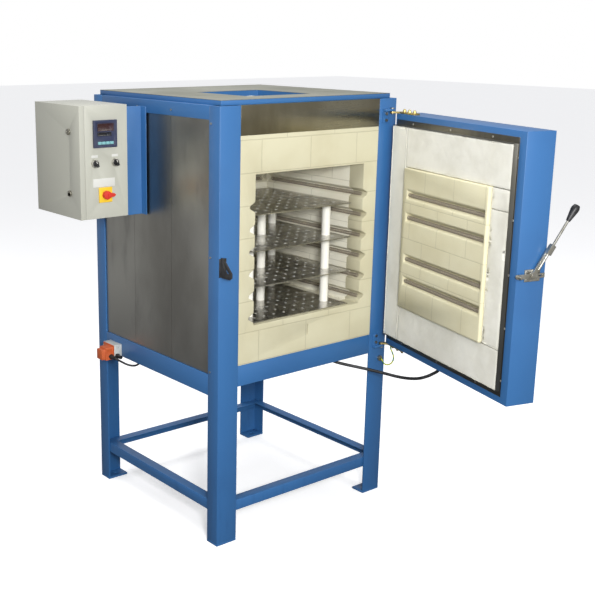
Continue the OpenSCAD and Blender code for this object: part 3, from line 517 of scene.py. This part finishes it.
def wound_coil(length, coil, wire, pitch):
    """A helix along +X from the origin, of round wire."""
    deselect()
    bpy.ops.mesh.primitive_circle_add(vertices=5, radius=wire / 2, rotation=(math.pi / 2, 0, 0),
                                      location=(coil / 2 - wire / 2, 0, 0))
    obj = bpy.context.object
    bpy.ops.object.transform_apply(location=True, rotation=True, scale=True)
    wind = obj.modifiers.new("wind", "SCREW")
    wind.axis = "Z"
    wind.screw_offset = pitch
    wind.iterations = int(length / pitch)
    wind.steps = wind.render_steps = 9
    wind.angle = math.tau
    wind.use_merge_vertices = False
    bpy.ops.object.modifier_apply(modifier="wind")
    obj.data.transform(Matrix.Rotation(math.pi / 2, 4, "Y"))
    obj.data.shade_smooth()
    return obj


def scatter(master, places, name, body, replaced, finish):
    """Copies of a master at each place, joined into one piece."""
    mesh = bmesh.new()
    for place in places:
        part = master.data.copy()
        part.transform(place)
        mesh.from_mesh(part)
        bpy.data.meshes.remove(part)
    data = bpy.data.meshes.new(name)
    mesh.to_mesh(data)
    mesh.free()
    obj = bpy.data.objects.new(name, data)
    scene.collection.objects.link(obj)
    data.materials.append(finish)
    data.shade_smooth()
    return tidy(obj, name, body, replaced)


COIL, WIRE, TURN = 0.0148, 0.0018, 0.0048
ROWS = [0.848 + 0.080 * i for i in range(6)]
DOOR_ROWS = (0.934, 1.019, 1.176, 1.260)
WALL_FACE, WALL_FRONT, BACK_FACE, PLUG_FACE = 0.265, -0.380, 0.160, -0.3905
DEEP, DROP = 0.01104, 0.00273
HINGE = Vector((0.394, -0.410, 0))
SWING = (Matrix.Translation(HINGE) @ Matrix.Rotation(math.radians(73.7), 4, "Z")
         @ Matrix.Translation(-HINGE))
side, back, leaf = (wound_coil(length, COIL, WIRE, TURN) for length in (0.520, 0.490, 0.476))


def along_y(x, z):
    return Matrix.Translation((x, WALL_FRONT, z)) @ Matrix.Rotation(math.pi / 2, 4, "Z")


for name, x in (("left_coils", -WALL_FACE - DEEP), ("right_coils", WALL_FACE + DEEP)):
    scatter(side, [along_y(x, z - DROP) for z in ROWS], name, "kiln",
            ("wall_elements",), ELEMENT)
scatter(back, [Matrix.Translation((-0.245, BACK_FACE + DEEP, z - DROP)) for z in ROWS],
        "back_coils", "kiln", ("wall_elements",), ELEMENT)
scatter(leaf, [SWING @ Matrix.Translation((-0.244, PLUG_FACE - DEEP, z - DROP))
               for z in DOOR_ROWS], "door_coils", "door", ("door_elements",),
        ELEMENT)
for master in (side, back, leaf):
    bpy.data.objects.remove(master)
print("coils wound:", 3 * len(ROWS) + len(DOOR_ROWS))

# %% [markdown]
# ## Soft edges
# No folded or welded edge is perfectly sharp: it carries a thin highlight that tells
# the eye what it is made of. A copy of a solid is merged, its flat faces are cleaned,
# and the Bevel modifier rounds the edges that are sharper than a set angle.

# %% Round the edges of the solids
def soften(node, width, finish, slot, segments=2):
    """A copy of a node's solid with rounded edges, which stands for the node."""
    deselect()
    obj = bpy.data.objects.new(node + "_soft", nodes[node].data.copy())
    scene.collection.objects.link(obj)
    bpy.context.view_layer.objects.active = obj
    obj.select_set(True)
    bpy.ops.object.mode_set(mode="EDIT")
    bpy.ops.mesh.select_all(action="SELECT")
    bpy.ops.mesh.remove_doubles(threshold=0.00001)
    bpy.ops.mesh.dissolve_limited(angle_limit=math.radians(1))
    bpy.ops.object.mode_set(mode="OBJECT")
    bevel = obj.modifiers.new("edge", "BEVEL")
    bevel.width = width
    bevel.segments = segments
    bevel.limit_method = "ANGLE"
    bevel.angle_limit = math.radians(40)
    bevel.use_clamp_overlap = True
    bpy.ops.object.modifier_apply(modifier="edge")
    bpy.ops.object.shade_smooth_by_angle(angle=math.radians(30))
    obj.data.materials.clear()
    obj.data.materials.append(finish)
    return tidy(obj, node + "_soft", nodes[node]["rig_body"], (node,))


def colour_part(obj, finish, where):
    """Give another finish to the faces whose centre passes the test."""
    obj.data.materials.append(finish)
    index = len(obj.data.materials) - 1
    for face in obj.data.polygons:
        if where(face.center):
            face.material_index = index


BLUE_PARTS = {"front_posts": 0.0012, "rear_posts": 0.0012, "stretchers": 0.001,
              "bottom_rails": 0.0012, "top_rails": 0.0012, "foot_plates": 0.001,
              "top_cover": 0.001, "box_bracket": 0.001, "hinge_brackets": 0.001,
              "door_casing": 0.0022, "terminal_cover": 0.0005}
for node, width in BLUE_PARTS.items():
    soften(node, width, BLUE, "blue_powder_coat")
OTHER_PARTS = (("control_box", 0.0016, GREY, "grey_powder_coat", 2),
               ("control_lid", 0.0016, GREY, "grey_powder_coat", 3),
               ("brick_front", 0.0022, BRICK, "insulating_brick", 2),
               ("lever_grip", 0.0012, BLACK, "black_plastic", 3),
               ("latch_keeper", 0.0012, BLACK, "dark_steel", 2),
               ("latch_plate", 0.0006, ZINC, "zinc_steel", 2),
               ("latch_lever", 0.0007, ZINC, "zinc_steel", 2),
               ("hinge_straps", 0.0007, YELLOW_ZINC, "zinc_steel", 2),
               ("header_panel", 0.0004, HEADER_STEEL, "stainless_sheet", 2),
               ("door_trim", 0.0004, TRIM_STEEL, "stainless_sheet", 2),
               ("isolator_knob", 0.0012, RED, "red_plastic", 3))
for row in OTHER_PARTS:
    soften(*row)
print("softened", len(BLUE_PARTS) + len(OTHER_PARTS), "nodes")

# %% [markdown]
# ## The brick plug in the door
# The plug is cut from soft blocks, so its rim is worn round and shows lighter. The
# bevel is wide and the blocks' joints come from the finish.

# %% Round the plug
PLUG = firebrick("plug_brick", paint(226, 220, 188), paint(216, 208, 172), 1, 0.172, 0.133,
                 (0.07, -0.032), 0.0018)
soften("door_bricks", 0.005, PLUG, "insulating_brick", 3)

# %% [markdown]
# ## Fibre strips round the plug
# The lining is a blanket cut into strips with a knife: its faces are slightly quilted,
# its edges fray, and the strips meet with visible joints. Each strip is a subdivided
# box whose points are pushed about by a soft cloud pattern.

# %% Lay the strips
def cloud(name, size):
    texture = bpy.data.textures.new(name, "CLOUDS")
    texture.noise_scale = size
    return texture


QUILT, FRAY = cloud("quilt", 0.09), cloud("fray", 0.012)


def strip(name, low, high, edge):
    """One piece of blanket between two corners, in the closed door's place."""
    deselect()
    low, high = Vector(low), Vector(high)
    bpy.ops.mesh.primitive_cube_add(size=1, location=(low + high) / 2, scale=high - low)
    obj = bpy.context.object
    bpy.ops.object.transform_apply(location=True, rotation=True, scale=True)
    bevel = obj.modifiers.new("edge", "BEVEL")
    bevel.width, bevel.segments = edge, 3
    bpy.ops.object.modifier_apply(modifier="edge")
    bpy.ops.object.mode_set(mode="EDIT")
    bpy.ops.mesh.select_all(action="SELECT")
    bpy.ops.mesh.subdivide(number_cuts=5)
    cuts = 3 if max(high - low) > 0.4 else 1
    for _ in range(2):
        bpy.ops.mesh.select_all(action="DESELECT")
        bpy.ops.object.mode_set(mode="OBJECT")
        for e in obj.data.edges:
            a, b = (obj.data.vertices[i].co for i in e.vertices)
            e.select = (a - b).length > 0.018
        bpy.ops.object.mode_set(mode="EDIT")
        bpy.ops.mesh.select_mode(type="EDGE")
        bpy.ops.mesh.subdivide(number_cuts=cuts)
    bpy.ops.mesh.select_all(action="SELECT")
    bpy.ops.mesh.quads_convert_to_tris()
    bpy.ops.object.mode_set(mode="OBJECT")
    for texture, strength in ((QUILT, 0.0030), (FRAY, 0.0016)):
        push = obj.modifiers.new("push", "DISPLACE")
        push.texture, push.strength, push.mid_level = texture, strength, 0.85
        bpy.ops.object.modifier_apply(modifier="push")
    obj.data.transform(SWING)
    obj.data.shade_smooth()
    obj.data.materials.append(FIBRE)
    return tidy(obj, name, "door", ("door_lining",))


BACK, FACE = -0.4212, -0.4014
LEFT, RIGHT, BOTTOM, TOP = -0.3515, 0.3725, 0.6855, 1.5025
PLUG_SIDE, PLUG_LOW, PLUG_HIGH, JOINT = 0.2585, 0.8255, 1.3565, 1.285
PACKED, HAIR = PLUG_SIDE + 0.011, 0.0005
STRIPS = (
    ("hinge_side_strip", (PLUG_SIDE + 0.012, BACK, BOTTOM), (RIGHT, FACE, TOP), 0.004),
    ("packing_strip", (PLUG_SIDE, BACK, PLUG_LOW), (PACKED, FACE - 0.006, PLUG_HIGH), 0.002),
    ("top_strip", (LEFT, BACK, PLUG_HIGH), (PACKED, FACE, TOP), 0.004),
    ("bottom_strip", (LEFT, BACK, BOTTOM), (PACKED, FACE, PLUG_LOW), 0.004),
    ("free_side_upper_strip", (LEFT, BACK, JOINT), (-PLUG_SIDE, FACE, PLUG_HIGH - HAIR), 0.003),
    ("free_side_lower_strip", (LEFT, BACK, PLUG_LOW + HAIR), (-PLUG_SIDE, FACE, JOINT - HAIR),
     0.003))
strips = [strip(*row) for row in STRIPS]
print("strips", [len(s.data.polygons) for s in strips])

# %% [markdown]
# ## Small parts of the control box
# The controller has two dark windows above its keys, the selector knobs carry a white
# line, and blank white plates sit above the switches and the isolator.

# %% Fit the control face
def plate(name, low, high, edge, finish, body="kiln", inset=0.0, deep=0.0, matrix=None):
    """A box with round edges and, if asked, a sunk front, built as by hand."""
    deselect()
    low, high = Vector(low), Vector(high)
    bpy.ops.mesh.primitive_cube_add(size=1, location=(low + high) / 2, scale=high - low)
    obj = bpy.context.object
    bpy.ops.object.transform_apply(location=True, rotation=True, scale=True)
    if inset:
        for face in obj.data.polygons:
            face.select = face.normal.y < -0.9
        for e in obj.data.edges:
            e.select = False
        bpy.ops.object.mode_set(mode="EDIT")
        bpy.ops.mesh.select_mode(type="FACE")
        bpy.ops.mesh.inset(thickness=inset, depth=0)
        bpy.ops.mesh.inset(thickness=deep * 0.5, depth=-deep)
        bpy.ops.object.mode_set(mode="OBJECT")
    bevel = obj.modifiers.new("edge", "BEVEL")
    bevel.width, bevel.segments, bevel.limit_method = edge, 3, "ANGLE"
    bpy.ops.object.modifier_apply(modifier="edge")
    bpy.ops.object.shade_smooth_by_angle(angle=math.radians(30))
    if matrix:
        obj.data.transform(matrix)
    obj.data.materials.append(finish)
    return tidy(obj, name, body, ())


c0, c1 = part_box("controller")
bezel = c1.x - c0.x
DARK = moulded("dark_window", paint(20, 18, 22), 0.12, grain=400.0, dust=0.05, Coat_Weight=0.6)
RUSTY = moulded("upper_window", paint(52, 26, 26), 0.14, grain=400.0, dust=0.05,
                Coat_Weight=0.6)
soften("controller", 0.0014, NAVY, "navy_plastic", 3)
WINDOWS = (("upper_window", RUSTY, 0.16, 0.86, 0.60, 0.88),
           ("lower_window", DARK, 0.16, 0.76, 0.42, 0.56))
for name, finish, x0, x1, z0, z1 in WINDOWS:
    plate(name, (c0.x + bezel * x0, c0.y + 0.0008, c0.z + bezel * z0),
          (c0.x + bezel * x1, c0.y + 0.0030, c0.z + bezel * z1), 0.0006, finish,
          inset=0.0012, deep=0.0006)
for i in range(1, 5):
    soften(f"key_{i}", 0.0008, TEAL, "teal_plastic", 3)

SWITCHES = ("left_switch", "right_switch")
LINE_TURN = Matrix.Rotation(math.radians(25), 4, (0, -1, 0))
for name in SWITCHES:
    soften(name, 0.0007, BLACK, "black_plastic", 3)
    a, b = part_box(name)
    hub = Vector(((a.x + b.x) / 2, a.y, (a.z + b.z) / 2))
    plate(name + "_line", hub + Vector((-0.0009, -0.0003, 0.002)),
          hub + Vector((0.0009, 0.001, 0.0105)), 0.0002, CERAMIC, name,
          matrix=Matrix.Translation(hub) @ LINE_TURN @ Matrix.Translation(-hub))

COLLAR_FRONT, PLATE_TOP, COLLAR_LOW = 0.0171, 1.302, 1.31
collars = soften("switch_collars", 0.0008, BLACK, "zinc_steel")
colour_part(collars, YELLOW, lambda c: c.z < PLATE_TOP and c.y < COLLAR_FRONT)
colour_part(collars, ZINC, lambda c: c.z > COLLAR_LOW and c.y < COLLAR_FRONT)

LABEL = moulded("blank_label", paint(206, 206, 200), 0.4, dust=0.25)
box_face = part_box("control_box")[0].y


def blank_label(name, x0, x1, z0, z1, edge):
    plate(name, (x0, box_face - 0.001, z0), (x1, box_face + 0.0005, z1), edge, LABEL)


knob_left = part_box("isolator_knob")[0].x
blank_label("isolator_label", knob_left - 0.034, knob_left + 0.056, 1.300, 1.330, 0.0004)
for name in SWITCHES:
    a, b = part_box(name)
    x = (a.x + b.x) / 2
    blank_label(name + "_label", x - 0.013, x + 0.013, 1.405, 1.414, 0.0003)
for name in ("upper_lock", "lower_lock"):
    soften(name, 0.0006, ZINC, "zinc_steel")
print("controller", [round(v, 4) for v in c0], [round(v, 4) for v in c1])

# %% [markdown]
# ## Supply connector
# An orange hood clips over a grey metal base, and two black glands grip the leads.

# %% Colour the connector
s0, s1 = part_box("supply_connector")
BODY_END, GLAND_END, GLAND_X = 0.2275, 0.2355, -0.4715
connector = soften("supply_connector", 0.0009, ORANGE, "orange_plastic")
colour_part(connector, PALE, lambda c: c.x > s1.x - 0.0345 and c.y > BODY_END)
colour_part(connector, BLACK, lambda c: c.y < BODY_END or (
    c.x < s1.x - 0.036 and c.y < GLAND_END and c.z < 0.591 and abs(c.x - GLAND_X) < 0.0115))
print("connector", s0, s1)

# %% [markdown]
# ## Punched shelves
# Each shelf is a polished plate with rows of punched holes. The punch leaves a rolled
# rim round every hole, and the rims are given a pale matt finish, a painted highlight,
# which the eye sees as a grid of bright dots.

# %% Roll the rims
# A pale matt finish on the steel rims: a painted highlight.
RIM_PAINTED_HIGHLIGHT = moulded("rim_painted_highlight", paint(214, 214, 208), 0.35, grain=500.0, dust=0.1)
HOLE_PITCH, SHELF_PITCH, SHELF_TOP = 0.048, 0.131, 0.003
shelf_low, shelf_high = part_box("shelves")
centre = (shelf_low + shelf_high) / 2
grid = [k * HOLE_PITCH for k in range(-4, 5)]
rims = []
for level in range(4):
    z = shelf_low.z + SHELF_TOP + level * SHELF_PITCH
    rims += [Matrix.Translation((centre.x + a, centre.y + b, z)) for a in grid for b in grid]
deselect()
bpy.ops.mesh.primitive_torus_add(major_radius=0.0046, minor_radius=0.0006,
                                 major_segments=12, minor_segments=4)
ring = bpy.context.object
scatter(ring, rims, "hole_rims", "kiln", (), RIM_PAINTED_HIGHLIGHT)
bpy.data.objects.remove(ring)
print("rims", len(rims))

# %% [markdown]
# ## Screws in the door trim
# The stainless frame is held by small pan heads all round.

# %% Drive the screws
def pan_head(radius, height):
    deselect()
    bpy.ops.mesh.primitive_cylinder_add(vertices=16, radius=radius, depth=height,
                                        location=(0, 0, height / 2))
    obj = bpy.context.object
    bpy.ops.object.transform_apply(location=True, rotation=True, scale=True)
    bevel = obj.modifiers.new("edge", "BEVEL")
    bevel.width, bevel.segments, bevel.limit_method = height * 0.6, 3, "ANGLE"
    bpy.ops.object.modifier_apply(modifier="edge")
    return obj


head = pan_head(0.004, 0.0022)
TRIM_FACE = -0.4203
spots = [(-0.3552, z) for z in (0.72, 0.90, 1.08, 1.26, 1.46)]
spots += [(x, z) for x in (-0.22, 0.02, 0.26) for z in (0.674, 1.5135)]
outward = Matrix.Rotation(-math.pi / 2, 4, "X")
scatter(head, [SWING @ Matrix.Translation((x, TRIM_FACE, z)) @ outward for x, z in spots],
        "trim_screws", "door", (), ZINC)
bpy.data.objects.remove(head)
print("screws", len(spots))

# %% [markdown]
# ## Studio
# The floor and the room are white to the camera, as in a cut-out picture, and greyer to
# the kiln, so that the steel mirrors a calm room and the blue keeps its depth. A large
# lamp in front, a small one beside the camera and a wide one above give the light.

# %% Light the kiln
bpy.ops.mesh.primitive_plane_add(size=60, location=(0, 0, -0.0005))
floor = bpy.context.object
floor.name = "floor"
f = Finish("floor_paint", Roughness=0.75)
mottle = f.noise(1.2, 4.0)
seen_by_camera = f.add("ShaderNodeLightPath", {}, out="Is Camera Ray")
white = f.mix(mottle * 0.3, paint(250, 250, 250), paint(244, 244, 245))
x, y, z = f.split()
away = (x * x + y * y).band(3.0, 24.0)
grey = f.mix(away, paint(104, 104, 104), paint(235, 234, 228))
f.wear(f.mix(seen_by_camera, grey, white))
glow = f.mix(seen_by_camera, paint(0, 0, 0), paint(172, 172, 172))
f.tree.links.new(glow.socket, f.shader.inputs["Emission Color"])
f.shader.inputs["Emission Strength"].default_value = 1.0
floor.data.materials.append(f.material)

world = bpy.data.worlds.new("studio")
scene.world = world
world.use_nodes = True
sky = world.node_tree
lit = sky.nodes["Background"]
lit.inputs["Color"].default_value = paint(250, 251, 255)
lit.inputs["Strength"].default_value = 0.5
seen = sky.nodes.new("ShaderNodeBackground")
seen.inputs["Color"].default_value = (1.0, 1.0, 1.0, 1.0)
ray, pick = sky.nodes.new("ShaderNodeLightPath"), sky.nodes.new("ShaderNodeMixShader")
sky.links.new(ray.outputs["Is Camera Ray"], pick.inputs["Fac"])
sky.links.new(lit.outputs["Background"], pick.inputs[1])
sky.links.new(seen.outputs["Background"], pick.inputs[2])
sky.links.new(pick.outputs["Shader"], sky.nodes["World Output"].inputs["Surface"])


def softbox(name, place, aim, size, power):
    data = bpy.data.lights.new(name, "AREA")
    data.shape = "RECTANGLE"
    data.size, data.size_y = size
    data.energy = power
    lamp = bpy.data.objects.new(name, data)
    scene.collection.objects.link(lamp)
    lamp.location = place
    lamp.rotation_euler = (Vector(aim) - Vector(place)).to_track_quat("-Z", "Y").to_euler()


softbox("key", (-1.2, -4.4, 2.9), (0, -0.2, 0.9), (1.6, 1.6), 62)
softbox("flash", (-2.2, -3.4, 2.1), (0.05, -0.1, 1.1), (0.5, 0.5), 112)
softbox("top", (0.0, 0.6, 4.4), (0, 0, 1.0), (3.5, 3.5), 100)
scene.view_settings.view_transform = "Standard"
print("lights are set")
